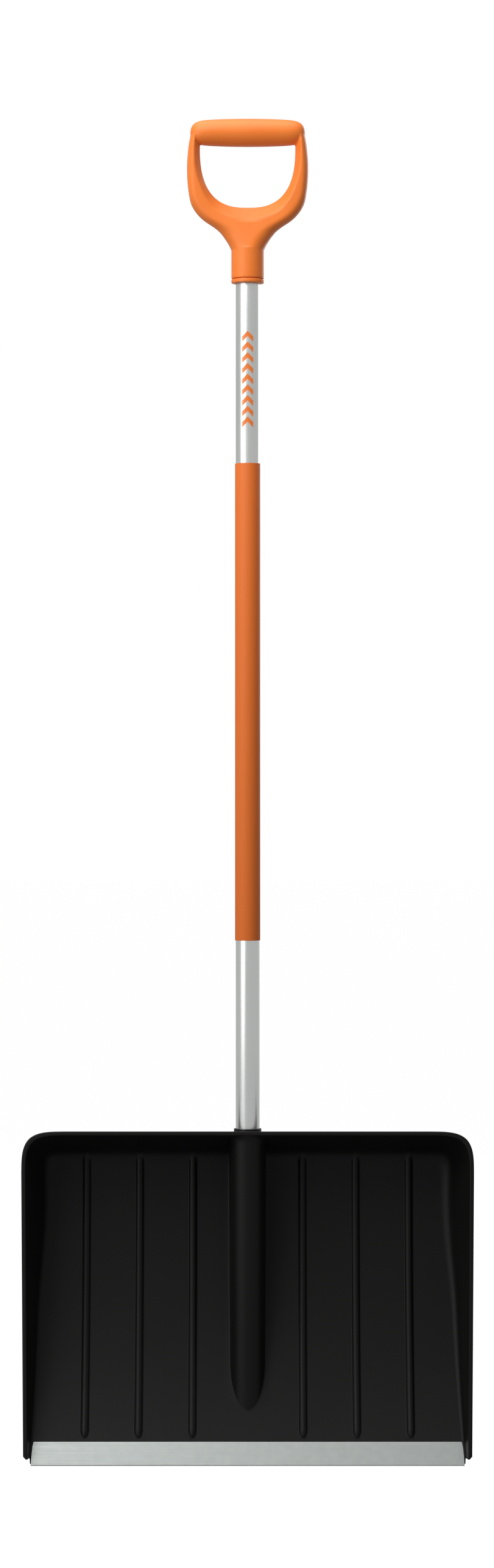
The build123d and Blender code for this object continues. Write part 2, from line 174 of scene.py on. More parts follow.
# %% Floor
floor_material, tree = new_material("pale matt floor")
shader = add(tree, "ShaderNodeBsdfPrincipled", {
    "Base Color": linear("#4A4A4A"), "Roughness": 0.9, "Specular IOR Level": 0.1,
    "Emission Color": linear("#FFFFFF"), "Emission Strength": 0.95,
})
add(tree, "ShaderNodeOutputMaterial", {"Surface": shader.outputs[0]})
floor_bm = bmesh.new()
bmesh.ops.create_circle(floor_bm, cap_ends=True, radius=30.0, segments=96)
floor = new_object(floor_bm, "floor")
floor.location = (0, 0, -0.0005)
floor.data.materials.append(floor_material)
floor.visible_glossy = False
floor.visible_diffuse = False
print("floor radius, m:", round(floor.dimensions.x / 2))

# %% [markdown]
# ## Lights
# Black plastic shows its shape only by what it reflects, so the lights are large soft boxes. A
# tall one stands on the left, two hang above, and a weak one stands behind.


# %% Lights
def soft_box(name, place, target, width, height, watts):
    """A rectangular studio light at a place, turned to face its target."""
    data = bpy.data.lights.new(name, "AREA")
    data.shape = "RECTANGLE"
    data.size = width
    data.size_y = height
    data.energy = watts
    light = bpy.data.objects.new(name, data)
    light.location = place
    light.rotation_euler = (Vector(target) - Vector(place)).to_track_quat("-Z", "Y").to_euler()
    bpy.context.scene.collection.objects.link(light)


soft_box("left soft box", (-2.3, -2.2, 1.7), (0, 0, 0.9), 2.3, 3.6, 56.0)
soft_box("overhead soft box", (-1.2, -2.2, 3.5), (0, 0, 0.3), 2.2, 1.6, 54.0)
soft_box("ceiling soft box", (-0.3, -0.3, 3.6), (0, 0, 0.6), 2.6, 2.0, 48.0)
soft_box("rear soft box", (1.8, 2.8, 1.8), (0, 0, 0.7), 1.4, 2.4, 26.0)

# %% [markdown]
# ### Studio walls
# Behind the shovel the room is plain white. What the shovel itself sees of it is dim, so that
# black plastic stays black, and a little brighter in a shine, so that its edges still read.

# %% Studio walls
WALL_GLOW = 0.24            # how bright the walls are to a bounce
SHINE_GLOW = 0.38           # how much brighter they are in a shine

world = bpy.data.worlds.new("studio")
bpy.context.scene.world = world
world.use_nodes = True
tree = world.node_tree
tree.nodes.clear()
eye = add(tree, "ShaderNodeLightPath")
fill = add(tree, "ShaderNodeMath", {
    0: eye.outputs["Is Glossy Ray"], 1: SHINE_GLOW, 2: WALL_GLOW,
}, operation="MULTIPLY_ADD")
dim = add(tree, "ShaderNodeBackground", {
    "Color": linear("#FFFFFF"), "Strength": fill.outputs[0],
})
white = add(tree, "ShaderNodeBackground", {"Color": linear("#FFFFFF"), "Strength": 1.0})
both = add(tree, "ShaderNodeMixShader", {
    0: eye.outputs["Is Camera Ray"], 1: dim.outputs[0], 2: white.outputs[0],
})
add(tree, "ShaderNodeOutputWorld", {"Surface": both.outputs[0]})
print("world nodes:", len(tree.nodes))

# %% [markdown]
# ## Finishes
# The shovel is black polypropylene, orange polypropylene, a soft orange sleeve, aluminium (drawn
# and anodised for the tube, extruded and left bare for the wear edge) and zinc-plated steel.
# Every pattern reads Object coordinates in metres, so its scale is one over the real size of
# what it shows. Roughness follows the middle range of a noise, where most of its values lie.


# %% Pattern helper
def grain(tree, size_mm, detail=2.0, stretch=(1.0, 1.0, 1.0)):
    """Noise whose blobs are about size_mm wide, stretched along an axis by a factor below 1."""
    place = add(tree, "ShaderNodeTexCoord")
    mapping = add(tree, "ShaderNodeMapping", {
        "Vector": place.outputs["Object"], "Scale": stretch,
    })
    noise = add(tree, "ShaderNodeTexNoise", {
        "Vector": mapping.outputs[0], "Scale": 1000.0 / size_mm, "Detail": detail,
    })
    return noise.outputs["Fac"]


PLASTIC_IOR = 1.49          # of polypropylene
BUMP_DEPTH = 0.0002         # 0.2 mm, in metres
MIDDLE = {"From Min": 0.3, "From Max": 0.7}     # the middle range of a noise
print("a 2 mm grain has a scale of", 1000.0 / 2)

# %% [markdown]
# ### Black polypropylene, moulded
# The scoop, its socket and the plugs in the tube are injection moulded. A spark-eroded mould
# leaves a fine even grain, so black polypropylene has a broad soft sheen. Cut into the mesh the
# grain would need millions of faces, so it is a bump. It is really 0.3 mm and is drawn at
# 0.9 mm, which is the finest that still shows. Long scuffs and the flow of the melt vary the
# sheen a little.


# %% Black polypropylene
def moulded_black():
    material, tree = new_material("black polypropylene, moulded")
    fine = grain(tree, 0.9)
    flow = grain(tree, 70.0)
    scuffs = grain(tree, 2.5, 3.0, (1.0, 1.0, 0.06))
    worn = add(tree, "ShaderNodeMath", {0: flow, 1: scuffs}, operation="MULTIPLY")
    colour = add(tree, "ShaderNodeMix", {
        0: flow, 6: linear("#090908"), 7: linear("#0E0E0D"),
    }, data_type="RGBA")
    roughness = add(tree, "ShaderNodeMapRange", {
        "Value": worn.outputs[0], **MIDDLE, "To Min": 0.46, "To Max": 0.38,
    })
    bump = add(tree, "ShaderNodeBump", {
        "Height": fine, "Strength": 0.18, "Distance": BUMP_DEPTH,
    })
    shader = add(tree, "ShaderNodeBsdfPrincipled", {
        "Base Color": colour.outputs[2], "Roughness": roughness.outputs[0],
        "IOR": PLASTIC_IOR, "Specular IOR Level": 0.13, "Normal": bump.outputs[0],
    })
    add(tree, "ShaderNodeOutputMaterial", {"Surface": shader.outputs[0]})
    return material


BLACK = moulded_black()
print(BLACK.name, len(BLACK.node_tree.nodes), "nodes")

# %% [markdown]
# ### Orange polypropylene, moulded
# The D-grip's mould is finely grained too, which leaves a satin skin. Orange pigment never mixes
# quite evenly, so a faint cloudiness drifts through the colour, and the gloss follows it.


# %% Orange polypropylene
def moulded_orange():
    material, tree = new_material("orange polypropylene, moulded")
    fine = grain(tree, 0.8)
    cloud = grain(tree, 28.0, 3.0)
    colour = add(tree, "ShaderNodeMix", {
        0: cloud, 6: linear("#EF7929"), 7: linear("#F68433"),
    }, data_type="RGBA")
    roughness = add(tree, "ShaderNodeMapRange", {
        "Value": cloud, **MIDDLE, "To Min": 0.40, "To Max": 0.46,
    })
    bump = add(tree, "ShaderNodeBump", {
        "Height": fine, "Strength": 0.15, "Distance": BUMP_DEPTH,
    })
    shader = add(tree, "ShaderNodeBsdfPrincipled", {
        "Base Color": colour.outputs[2], "Roughness": roughness.outputs[0],
        "IOR": PLASTIC_IOR, "Specular IOR Level": 0.4, "Normal": bump.outputs[0],
    })
    add(tree, "ShaderNodeOutputMaterial", {"Surface": shader.outputs[0]})
    return material


ORANGE = moulded_orange()
print(ORANGE.name, len(ORANGE.node_tree.nodes), "nodes")

# %% [markdown]
# ### Soft orange sleeve, extruded
# The sleeve is a thin plastic hose, shrunk on the tube. It is duller than the grip and has faint
# lines along it from the die, so its noise is stretched fifty times up the shaft.


# %% Soft orange sleeve
def extruded_sleeve():
    material, tree = new_material("orange soft plastic sleeve, extruded")
    lines = grain(tree, 1.1, 2.0, (1.0, 1.0, 0.02))
    fine = grain(tree, 0.7)
    height = add(tree, "ShaderNodeMath", {0: lines, 1: fine}, operation="ADD")
    colour = add(tree, "ShaderNodeMix", {
        0: lines, 6: linear("#D96A22"), 7: linear("#E2722A"),
    }, data_type="RGBA")
    roughness = add(tree, "ShaderNodeMapRange", {
        "Value": lines, **MIDDLE, "To Min": 0.50, "To Max": 0.60,
    })
    bump = add(tree, "ShaderNodeBump", {
        "Height": height.outputs[0], "Strength": 0.2, "Distance": BUMP_DEPTH,
    })
    shader = add(tree, "ShaderNodeBsdfPrincipled", {
        "Base Color": colour.outputs[2], "Roughness": roughness.outputs[0],
        "IOR": PLASTIC_IOR, "Specular IOR Level": 0.35, "Normal": bump.outputs[0],
    })
    add(tree, "ShaderNodeOutputMaterial", {"Surface": shader.outputs[0]})
    return material


SLEEVE = extruded_sleeve()
print(SLEEVE.name, len(SLEEVE.node_tree.nodes), "nodes")

# %% [markdown]
# ### Drawn aluminium tube, satin anodised
# Drawing pulls long fine lines down the tube, and anodising turns the shine to satin. A mark is
# printed on its front: a plain column of orange chevrons. It could be a sheet laid on the tube,
# but a formula on the place gives clean edges with no extra mesh. Height plus the distance from
# the middle makes slanted bars, and four limits frame them. Where the print lies, the metal is
# covered.

# %% Drawn aluminium tube
MARK_FOOT = 1222.2          # heights of the printed mark, mm
MARK_TOP = 1335.6
MARK_HALF_WIDTH = 6.5
CHEVRON_PITCH = 12.6


def drawn_tube():
    material, tree = new_material("aluminium tube, drawn and satin anodised")
    lines = grain(tree, 0.6, 3.0, (1.0, 1.0, 0.01))
    haze = grain(tree, 45.0, 2.0, (1.0, 1.0, 0.3))
    place = add(tree, "ShaderNodeTexCoord")
    axes = add(tree, "ShaderNodeSeparateXYZ", {0: place.outputs["Object"]})
    across = add(tree, "ShaderNodeMath", {0: axes.outputs["X"]}, operation="ABSOLUTE")
    slant = add(tree, "ShaderNodeMath", {
        0: axes.outputs["Z"], 1: across.outputs[0],
    }, operation="ADD")
    bars = add(tree, "ShaderNodeMath", {
        0: slant.outputs[0], 1: CHEVRON_PITCH / 1000,
    }, operation="DIVIDE")
    turn = add(tree, "ShaderNodeMath", {0: bars.outputs[0]}, operation="FRACT")
    mark = add(tree, "ShaderNodeMath", {0: turn.outputs[0], 1: 0.5}, operation="LESS_THAN")
    for test, value, limit in (
        ("LESS_THAN", across.outputs[0], MARK_HALF_WIDTH),
        ("GREATER_THAN", slant.outputs[0], MARK_FOOT),
        ("LESS_THAN", slant.outputs[0], MARK_TOP),
        ("LESS_THAN", axes.outputs["Y"], SHAFT_Y),
    ):
        inside = add(tree, "ShaderNodeMath", {0: value, 1: limit / 1000}, operation=test)
        mark = add(tree, "ShaderNodeMath", {
            0: mark.outputs[0], 1: inside.outputs[0],
        }, operation="MULTIPLY")
    metal = add(tree, "ShaderNodeMath", {0: 1.0, 1: mark.outputs[0]}, operation="SUBTRACT")
    bare = add(tree, "ShaderNodeMix", {
        0: haze, 6: linear("#CDD0CE"), 7: linear("#DADCDA"),
    }, data_type="RGBA")
    colour = add(tree, "ShaderNodeMix", {
        0: mark.outputs[0], 6: bare.outputs[2], 7: linear("#E8782E"),
    }, data_type="RGBA")
    roughness = add(tree, "ShaderNodeMapRange", {
        "Value": lines, **MIDDLE, "To Min": 0.24, "To Max": 0.34,
    })
    bump = add(tree, "ShaderNodeBump", {
        "Height": lines, "Strength": 0.03, "Distance": BUMP_DEPTH,
    })
    shader = add(tree, "ShaderNodeBsdfPrincipled", {
        "Base Color": colour.outputs[2], "Metallic": metal.outputs[0],
        "Roughness": roughness.outputs[0], "Normal": bump.outputs[0],
    })
    add(tree, "ShaderNodeOutputMaterial", {"Surface": shader.outputs[0]})
    return material


TUBE = drawn_tube()
print(TUBE.name, len(TUBE.node_tree.nodes), "nodes")

# %% [markdown]
# ### Bare aluminium, extruded
# The wear edge and its rivets are left as they are made, with no coat: a dull grey skin, fine
# lines along its length from the die, and patches where handling has brightened or dulled it.


# %% Bare aluminium
def extruded_edge():
    material, tree = new_material("aluminium, extruded and bare")
    lines = grain(tree, 0.8, 3.0, (0.01, 1.0, 1.0))
    scuffs = grain(tree, 9.0, 4.0)
    colour = add(tree, "ShaderNodeMix", {
        0: scuffs, 6: linear("#888C8A"), 7: linear("#929694"),
    }, data_type="RGBA")
    roughness = add(tree, "ShaderNodeMapRange", {
        "Value": lines, **MIDDLE, "To Min": 0.34, "To Max": 0.48,
    })
    bump = add(tree, "ShaderNodeBump", {
        "Height": lines, "Strength": 0.12, "Distance": BUMP_DEPTH,
    })
    shader = add(tree, "ShaderNodeBsdfPrincipled", {
        "Base Color": colour.outputs[2], "Metallic": 1.0,
        "Roughness": roughness.outputs[0], "Normal": bump.outputs[0],
    })
    add(tree, "ShaderNodeOutputMaterial", {"Surface": shader.outputs[0]})
    return material


EDGE = extruded_edge()
print(EDGE.name, len(EDGE.node_tree.nodes), "nodes")

# %% [markdown]
# ### Steel, zinc plated
# The screws are steel with a clear-passivated zinc coat: a bluish grey with a soft shine and
# small cloudy patches. They are too small for a bump to show.


# %% Zinc-plated steel
def zinc_steel():
    material, tree = new_material("steel, zinc plated")
    cloud = grain(tree, 1.5, 3.0)
    colour = add(tree, "ShaderNodeMix", {
        0: cloud, 6: linear("#A9ADB0"), 7: linear("#BFC3C6"),
    }, data_type="RGBA")
    roughness = add(tree, "ShaderNodeMapRange", {
        "Value": cloud, **MIDDLE, "To Min": 0.28, "To Max": 0.40,
    })
    shader = add(tree, "ShaderNodeBsdfPrincipled", {
        "Base Color": colour.outputs[2], "Metallic": 1.0, "Roughness": roughness.outputs[0],
    })
    add(tree, "ShaderNodeOutputMaterial", {"Surface": shader.outputs[0]})
    return material


ZINC = zinc_steel()
print(ZINC.name, len(ZINC.node_tree.nodes), "nodes")

# %% [markdown]
# ## The scoop
# The blade is one moulding about 3 mm thick: a curved pan, two wings and a top wall with draft,
# a flat rim, six ribs and a raised hump over the shaft. Seen square to its rim, every point of
# its face has one depth, so a flat grid can be pushed back into shape by one formula. Each grid
# line is placed where the face bends, so the mesh follows the rim, the fillets, the ribs and the
# hump. The back is the same grid pushed back by the wall's thickness, and the two are bridged.
# Below, v is the way down the rim's plane from its top, x the distance from the middle, and an
# inset the distance from the outline.

# %% Sizes of the scoop
RIM_TILT = math.radians(5.6)
TOP_Z = BLADE_TOP - 1.6                     # top of the rim, below the collar
RIM_TOP_Y = SHAFT_Y - 22.5                  # front of the rim, at its top
TOP_HALF = 266.0                            # half widths over the rim
FOOT_HALF = 261.5
WALL = 3.0
RUN = TOP_Z / math.cos(RIM_TILT)            # length of the rim's plane, top to ground
DOWN = Vector((0, -math.sin(RIM_TILT), -math.cos(RIM_TILT)))
BACK = Vector((0, math.cos(RIM_TILT), -math.sin(RIM_TILT)))
RIM_TOP = Vector((0, RIM_TOP_Y, TOP_Z))
print("rim plane runs", round(RUN, 1), "mm")

# %% [markdown]
# ### Pan
# The pan is part of a cylinder that lies across the shovel, which is how a scoop rolls the snow
# over. A line square to the rim's plane meets it at one depth, found by Pythagoras.

# %% Pan
PAN_RADIUS = 770.0
PAN_AXIS = Vector((0.0, -677.52, 370.93))   # axis of the pan's hollow, along X


def pan_depth(v):
    """Depth of the bare pan behind the rim's plane."""
    start = RIM_TOP + DOWN * v - PAN_AXIS
    along = start.dot(BACK)
    return -along + math.sqrt(along * along - start.length_squared + PAN_RADIUS ** 2)


def pan_y(v):
    """The y of the bare pan."""
    return (RIM_TOP + DOWN * v + BACK * pan_depth(v)).y


print("pan depth at the top and foot:", round(pan_depth(0), 1), round(pan_depth(RUN - 10), 1))

# %% [markdown]
# ### Ribs
# Six beads stiffen the pan, three a side, and each ends in a rounded point. A bead is the top of
# a circle, and a soft minimum blends its sides into the pan as the mould's fillet does.

# %% Ribs
RIB_FIRST = 65.0            # of the innermost pair, from the middle
RIB_PITCH = 63.0
RIB_ROW = [RIB_FIRST + RIB_PITCH * count for count in range(3)]
RIB_RADIUS = 4.8
RIB_RISE = 4.0
RIB_REACH = 7.0             # half width over its blend into the pan
RIB_BLEND = 1.0
RIB_FADE = 3.0              # how fast its side drops below the pan, outside the bead
RIB_FOOT_V = RUN - 43.0     # where each rib starts to run out, down the rim's plane
RIB_TIP = 10.0              # length of its pointed lower end
RIB_TIP_LOSS = 4.6          # the tip counts as lying this far off the bead's middle


def smooth_min(a, b, blend):
    """The lower of two numbers, rounded where they cross."""
    near = max(blend - abs(a - b), 0.0) / blend
    return min(a, b) - near * near * blend / 4


def rib_height(x, v):
    """How far a rib stands out of the pan here."""
    across = min(abs(x - place) for place in RIB_ROW)
    past = max(0.0, v - RIB_FOOT_V) / RIB_TIP
    reach = math.hypot(across, RIB_TIP_LOSS * past)
    if reach >= RIB_REACH:
        return 0.0
    bead = math.sqrt(max(RIB_RADIUS ** 2 - reach ** 2, 0.0)) - (RIB_RADIUS - RIB_RISE)
    bead -= max(0.0, reach - RIB_RADIUS) * RIB_FADE
    return -smooth_min(-bead, 0.0, RIB_BLEND)


print("ribs at", RIB_ROW, "rise", round(rib_height(RIB_FIRST, 100.0), 2))

# %% [markdown]
# ### Hump
# The shaft's socket bulges through the pan as a half round with nearly square flanks. The pan
# curves forward towards its foot, so the hump sinks into it and runs out in a point.

# %% Hump
HUMP_RADIUS = 19.6
HUMP_FLANK = math.tan(math.radians(1.8))
HUMP_FILLET = 2.5
HUMP_ZONE = 30.0            # half width of the strip that the hump and its foot lie in


def hump_limits(v):
    """Half widths where the hump's crest meets its foot fillet, and where the fillet ends."""
    rise = pan_y(v) - SHAFT_Y
    if rise > HUMP_FILLET:
        centre = HUMP_RADIUS + HUMP_FILLET + (rise - HUMP_FILLET) * HUMP_FLANK
        return centre - HUMP_FILLET, centre
    room = (HUMP_RADIUS + HUMP_FILLET) ** 2 - (rise - HUMP_FILLET) ** 2
    centre = math.sqrt(max(room, 0.0))
    return centre * HUMP_RADIUS / (HUMP_RADIUS + HUMP_FILLET), centre


def hump_y(x, v):
    """The y of the hump, of the fillet at its foot, or of the pan beside it."""
    touch, centre = hump_limits(v)
    if x >= centre:
        return pan_y(v)
    if x > touch:
        return pan_y(v) - HUMP_FILLET + math.sqrt(HUMP_FILLET ** 2 - (centre - x) ** 2)
    if x < HUMP_RADIUS:
        return SHAFT_Y - math.sqrt(HUMP_RADIUS ** 2 - x * x)
    return SHAFT_Y + (x - HUMP_RADIUS) / HUMP_FLANK


def hump_depth(x, v):
    """The same as a depth behind the rim's plane."""
    start = RIM_TOP_Y - v * math.sin(RIM_TILT)
    return (hump_y(x, v) - start) / math.cos(RIM_TILT)


print("hump at the top: half width", round(hump_limits(20.0)[0], 1))

# %% [markdown]
# ### Rim, walls and fillets
# A moulding leaves its mould only if its walls lean, so the top wall has 15 degrees of draft and
# the wings ease to 9. Each wall rises from the pan in a fillet that is generous at the top, where
# snow is carried, and tight at the foot, and ends in a flat rim.

# %% Rim, walls and fillets
RIM_WIDTH = 4.7
RIM_ROUND = 1.2             # radius of the rim's outer edge
RIM_CORNER = 0.6            # width left at the rim's inner edge for its rounding
RIM_BLEND = 1.6
DRAFT = math.tan(math.radians(15.0))        # of the top wall
SIDE_DRAFT = math.tan(math.radians(9.0))    # of the wings, lower down
EASE_START = 80.0           # where the draft starts to ease, and over what length
EASE_LENGTH = 140.0
FILLET_TOP = 22.0
FILLET_FOOT = 3.0
FILLET_POWER = 0.8          # how the fillet shrinks from top to foot
CREST_FILLET = 5.0          # least fillet between the hump's crest and the top wall
CREST_DEPTH = 6.0           # past this depth that fillet grows
CREST_GROWTH = 0.35
RIB_END_BLEND = 1.2         # where a rib runs into a wall


def fillet_radius(v):
    """Radius of the fillet between the pan and its walls."""
    return FILLET_TOP + (FILLET_FOOT - FILLET_TOP) * (max(v, 0.0) / RUN) ** FILLET_POWER


def draft_at(v):
    """The walls' slope: full along the top, easing to less down the wings."""
    share = clamp((v - EASE_START) / EASE_LENGTH)
    return DRAFT + (SIDE_DRAFT - DRAFT) * share * share * (3 - 2 * share)


def wall_limits(depth, radius, v):
    """Insets from the outline where the wall meets its fillet, and where the fillet ends."""
    draft = draft_at(v)
    half_turn = math.tan((math.pi / 2 - math.atan(draft)) / 2)
    corner = RIM_WIDTH + depth * draft
    start = corner - half_turn * radius * draft / math.hypot(1, draft)
    return start, corner + half_turn * radius


def wall_depth(inset, floor_depth, radius, v):
    """Depth of the rim, the drafted wall and the fillet into a floor at floor_depth."""
    if inset <= RIM_WIDTH - RIM_CORNER:
        edge = RIM_ROUND - min(inset, RIM_ROUND)
        return RIM_ROUND - math.sqrt(max(RIM_ROUND ** 2 - edge * edge, 0.0))
    start, end = wall_limits(floor_depth, radius, v)
    if inset >= end:
        return floor_depth
    if inset > start:
        return floor_depth - radius + math.sqrt(max(radius ** 2 - (end - inset) ** 2, 0.0))
    slope = (inset - RIM_WIDTH) / draft_at(v)
    return -smooth_min(-slope, 0.0, RIM_BLEND)


def face_depth(x, v, inset):
    """Depth of the finished face."""
    if x < HUMP_ZONE:
        floor_depth = hump_depth(x, v)
        grown = CREST_FILLET + CREST_GROWTH * max(0.0, floor_depth - CREST_DEPTH)
        return wall_depth(inset, floor_depth, min(fillet_radius(v), grown), v)
    floor_depth = pan_depth(v)
    walls = wall_depth(inset, floor_depth, fillet_radius(v), v)
    height = rib_height(x, v)
    if height <= 0.0:
        return walls
    return smooth_min(walls, floor_depth - height, min(RIB_END_BLEND, height))


print("wing fillet at mid height:", round(fillet_radius(RUN / 2), 1), "mm")

# %% [markdown]
# ### Grid lines that follow the shape
# An even grid would cut across the ribs and fillets and leave them ragged. Here each column and
# row lies on a line of the shape, close together where the face bends and wide apart where it is
# plain. Only one half is listed, because the scoop is the same on both sides of the shaft.

# %% Grid lines
RIM_LINES = [0.0, 0.12, 0.4, 1.2, 2.6, 3.8, 4.3, 4.8]
WALL_STEPS = [0.15, 0.4, 0.7]
FILLET_STEPS = [0.0, 0.12, 0.25, 0.38, 0.5, 0.62, 0.75, 0.88, 1.0]
RIB_LINES = [-7.0, -5.6, -4.9, -4.3, -3.6, -2.6, -1.3, 0.0, 1.3, 2.6, 3.6, 4.3, 4.9, 5.6, 7.0]
BETWEEN_RIBS = [17.0, 31.5, 46.0]
CREST_COLUMNS = 12
HUMP_FILLET_STEPS = [0, 0.15, 0.32, 0.5, 0.7, 1.0]
HUMP_SIDE_LINES = [29.0, 40.0, 50.0]
LEAST_TOUCH = 5.0           # keep the hump's lines apart below the point where it runs out
LEAST_CENTRE = 6.5
CROWN_V = 20.0              # the row lines near the top follow the fillet here
FOOT_ROWS = 5               # rows that follow the lower end


def inset_lines(v):
    """Insets of the grid lines from the outline: rim, wall and fillet."""
    start, end = wall_limits(pan_depth(v), fillet_radius(v), v)
    rim_end = RIM_LINES[-1]
    walls = [rim_end + (start - rim_end) * step for step in WALL_STEPS]
    fillets = [start + (end - start) * step for step in FILLET_STEPS]
    return RIM_LINES + walls + fillets


def half_columns(v):
    """Distances of one half's grid lines from the middle, paired with side insets."""
    half = TOP_HALF + (FOOT_HALF - TOP_HALF) * v / RUN
    touch, centre = hump_limits(v)
    touch, centre = max(touch, LEAST_TOUCH), max(centre, LEAST_CENTRE)
    turn = math.radians(90 / CREST_COLUMNS)
    lines = [touch * math.sin(turn * step) for step in range(CREST_COLUMNS)]
    lines += [touch + (centre - touch) * step for step in HUMP_FILLET_STEPS]
    lines += HUMP_SIDE_LINES
    for rib_x in RIB_ROW:
        lines += [rib_x + offset for offset in RIB_LINES]
        if rib_x != RIB_ROW[-1]:
            lines += [rib_x + offset for offset in BETWEEN_RIBS]
    insets = inset_lines(v)
    past = RIB_ROW[-1] + RIB_REACH
    lines += [(half - insets[-1] - past) * step + past for step in (0.3, 0.65)]
    lines = [(x, half - x) for x in lines]
    return lines + [(half - inset, inset) for inset in reversed(insets)]


def row_lines():
    """Distances of the grid's rows down the rim's plane, dense where the face bends."""
    rows = inset_lines(CROWN_V)
    for end, step in (
        (RUN - 132.0, 8.0),                     # down the plain pan
        (RUN - 52.0, 2.2),                      # past the point of the hump
        (RIB_FOOT_V - 2.0, 4.0),
        (RIB_FOOT_V + RIB_TIP + 2.5, 0.9),      # past the tips of the ribs
        (RUN - 20.0, 3.0),
    ):
        start = rows[-1]
        count = max(1, round((end - start) / step))
        rows += [start + (end - start) * (i + 1) / count for i in range(count)]
    return rows


ROWS = row_lines()
LAST_ROW = len(ROWS) - 1
COLUMNS = 2 * len(half_columns(0.0)) - 1
print(COLUMNS, "columns by", len(ROWS) + FOOT_ROWS, "rows")

# %% [markdown]
# ### Places of the grid's points
# The lower end isn't straight: between the wings the pan ends in a tongue inside the wear edge,
# and the wings stop a little higher, with a chamfer. The last rows are spread between the row
# above them and that end. At the two round corners the square grid is pulled in to a rounded
# square, so that the rim keeps its width round the bend.

# %% Places of the grid's points
WING_END = 9.0
TONGUE_END = 3.1
WING_CHAMFER = 3.4
WING_INSIDE = 8.1           # inset of the wing's inner face at its foot
WING_STEP = 0.3             # over which the end drops from the wing to the tongue
CORNER_REACH = 60.0         # size of the square that each round corner fills
CORNER_POWER = 4.2          # makes the outline's corner about 31 mm in radius
END_GUESS = RUN - 8.0
END_TRIES = 5               # rounds that settle the lower end on its height


def foot_height(inset):
    """Height of the blade's lower end: the tongue in the wear edge, or the end of a wing."""
    wing = WING_END + max(0.0, WING_CHAMFER - inset)
    return wing + (TONGUE_END - wing) * clamp((inset - WING_INSIDE) / WING_STEP)


def place_point(column, row):
    """A grid point's x, its way down, its depth and its inset."""
    side = 1 if column >= COLUMNS // 2 else -1
    index = abs(column - COLUMNS // 2)
    if row > LAST_ROW:
        share = (row - LAST_ROW) / FOOT_ROWS
        v = END_GUESS
        for _ in range(END_TRIES):
            x, inset = half_columns(v)[index]
            end = TOP_Z - foot_height(inset) - face_depth(x, v, inset) * math.sin(RIM_TILT)
            end /= math.cos(RIM_TILT)
            v = ROWS[-1] + (end - ROWS[-1]) * share
    else:
        v = ROWS[row]
    x, inset = half_columns(v)[index]
    half = x + inset
    reach = CORNER_REACH
    if inset < reach and v < reach:
        a, b = (reach - inset) / reach, (reach - v) / reach
        pull = max(a, b) / (a ** CORNER_POWER + b ** CORNER_POWER) ** (1 / CORNER_POWER)
        x = half - reach + reach * a * pull
        v = reach - reach * b * pull
        inset = reach * (1 - max(a, b))
    else:
        inset = min(inset, v)
    return side * x, v, face_depth(x, v, inset), inset


print("wing ends at", foot_height(WING_CHAMFER), "and the tongue at", foot_height(20.0))

# %% [markdown]
# ### The shell
# The grid's points are moved to the face, the grid is copied, and the copy is moved to the back.
# Behind the walls and the pan the back stands off by the wall's thickness, square to the face.
# Behind the rim it is flat, and the points of its inner part gather at the wall's outer side,
# so the rim is a solid band. Bridging the two open borders closes the shell.

# %% Scoop shell
RIM_DEPTH = 6.0
RIM_STEP = 1.2
RIM_INSIDE = 4.4            # inset up to which a point counts as the rim


def push_front(bm):
    """Move the grid's points to the front face, and keep where each one lies."""
    spots = {}
    for vert in bm.verts:
        column = round((vert.co.x + 1) / 2 * (COLUMNS - 1))
        row = round((1 - vert.co.y) / 2 * (LAST_ROW + FOOT_ROWS))
        x, v, depth, inset = place_point(column, row)
        vert.co = RIM_TOP + Vector((x, 0, 0)) + DOWN * v + BACK * depth
        spots[vert] = (x, v, inset)
    bm.normal_update()
    if sum(face.normal.y for face in bm.faces) > 0:
        bmesh.ops.reverse_faces(bm, faces=bm.faces)
        bm.normal_update()
    return spots


def back_place(front, normal, x, v, inset):
    """Where the back of the wall lies behind a point of the front face."""
    if inset >= RIM_INSIDE:
        place = front - normal * WALL
        short = RIM_DEPTH - (place - RIM_TOP).dot(BACK)
        return place + BACK * short if short > 0 else place
    place = front + BACK * (RIM_DEPTH - (front - RIM_TOP).dot(BACK))
    shift = inset - min(inset, RIM_STEP + RIM_DEPTH * DRAFT)
    if v <= abs(TOP_HALF - abs(x)) + 0.01:
        return place - DOWN * shift
    return place + Vector((math.copysign(shift, x), 0, 0))


def scoop():
    """The whole shell, front and back, as one closed mesh."""
    bm = bmesh.new()
    bmesh.ops.create_grid(
        bm, x_segments=COLUMNS - 1, y_segments=LAST_ROW + FOOT_ROWS, size=1.0
    )
    spots = push_front(bm)
    normals = {vert: vert.normal.copy() for vert in spots}
    copied = bmesh.ops.duplicate(bm, geom=bm.verts[:] + bm.edges[:] + bm.faces[:])
    for old, new in copied["vert_map"].items():
        if old in spots:
            new.co = back_place(old.co, normals[old], *spots[old])
    back_faces = [f for f in copied["geom"] if isinstance(f, bmesh.types.BMFace)]
    bmesh.ops.reverse_faces(bm, faces=back_faces)
    bmesh.ops.bridge_loops(bm, edges=[edge for edge in bm.edges if edge.is_boundary])
    bmesh.ops.recalc_face_normals(bm, faces=bm.faces)
    print("open edges:", sum(1 for edge in bm.edges if not edge.is_manifold))
    return bm


finish_piece(scoop(), "scoop_shell", BLACK, ("blade",))

# %% [markdown]
# ## The wear edge
# The wear edge is an extruded aluminium channel that hugs the foot of the pan. It has the same
# section along its whole length, so one drawn section is pushed along X, as the press does it.
# Small bevels stand for the broken edges of an extrusion, and the one low on the front is
# larger, because the ground wears it away.

# %% Wear edge
EDGE_SHEET = 1.5            # thickness of its front and rear flanges
EDGE_WEB = 3.0              # solid metal below the pan's tongue
EDGE_FRONT = edge_high.z
EDGE_REAR = 21.0
TONGUE_WALL = 3.2           # room for the pan's tongue inside it
EDGE_WORN = 1.5
EDGE_BREAK = 0.3


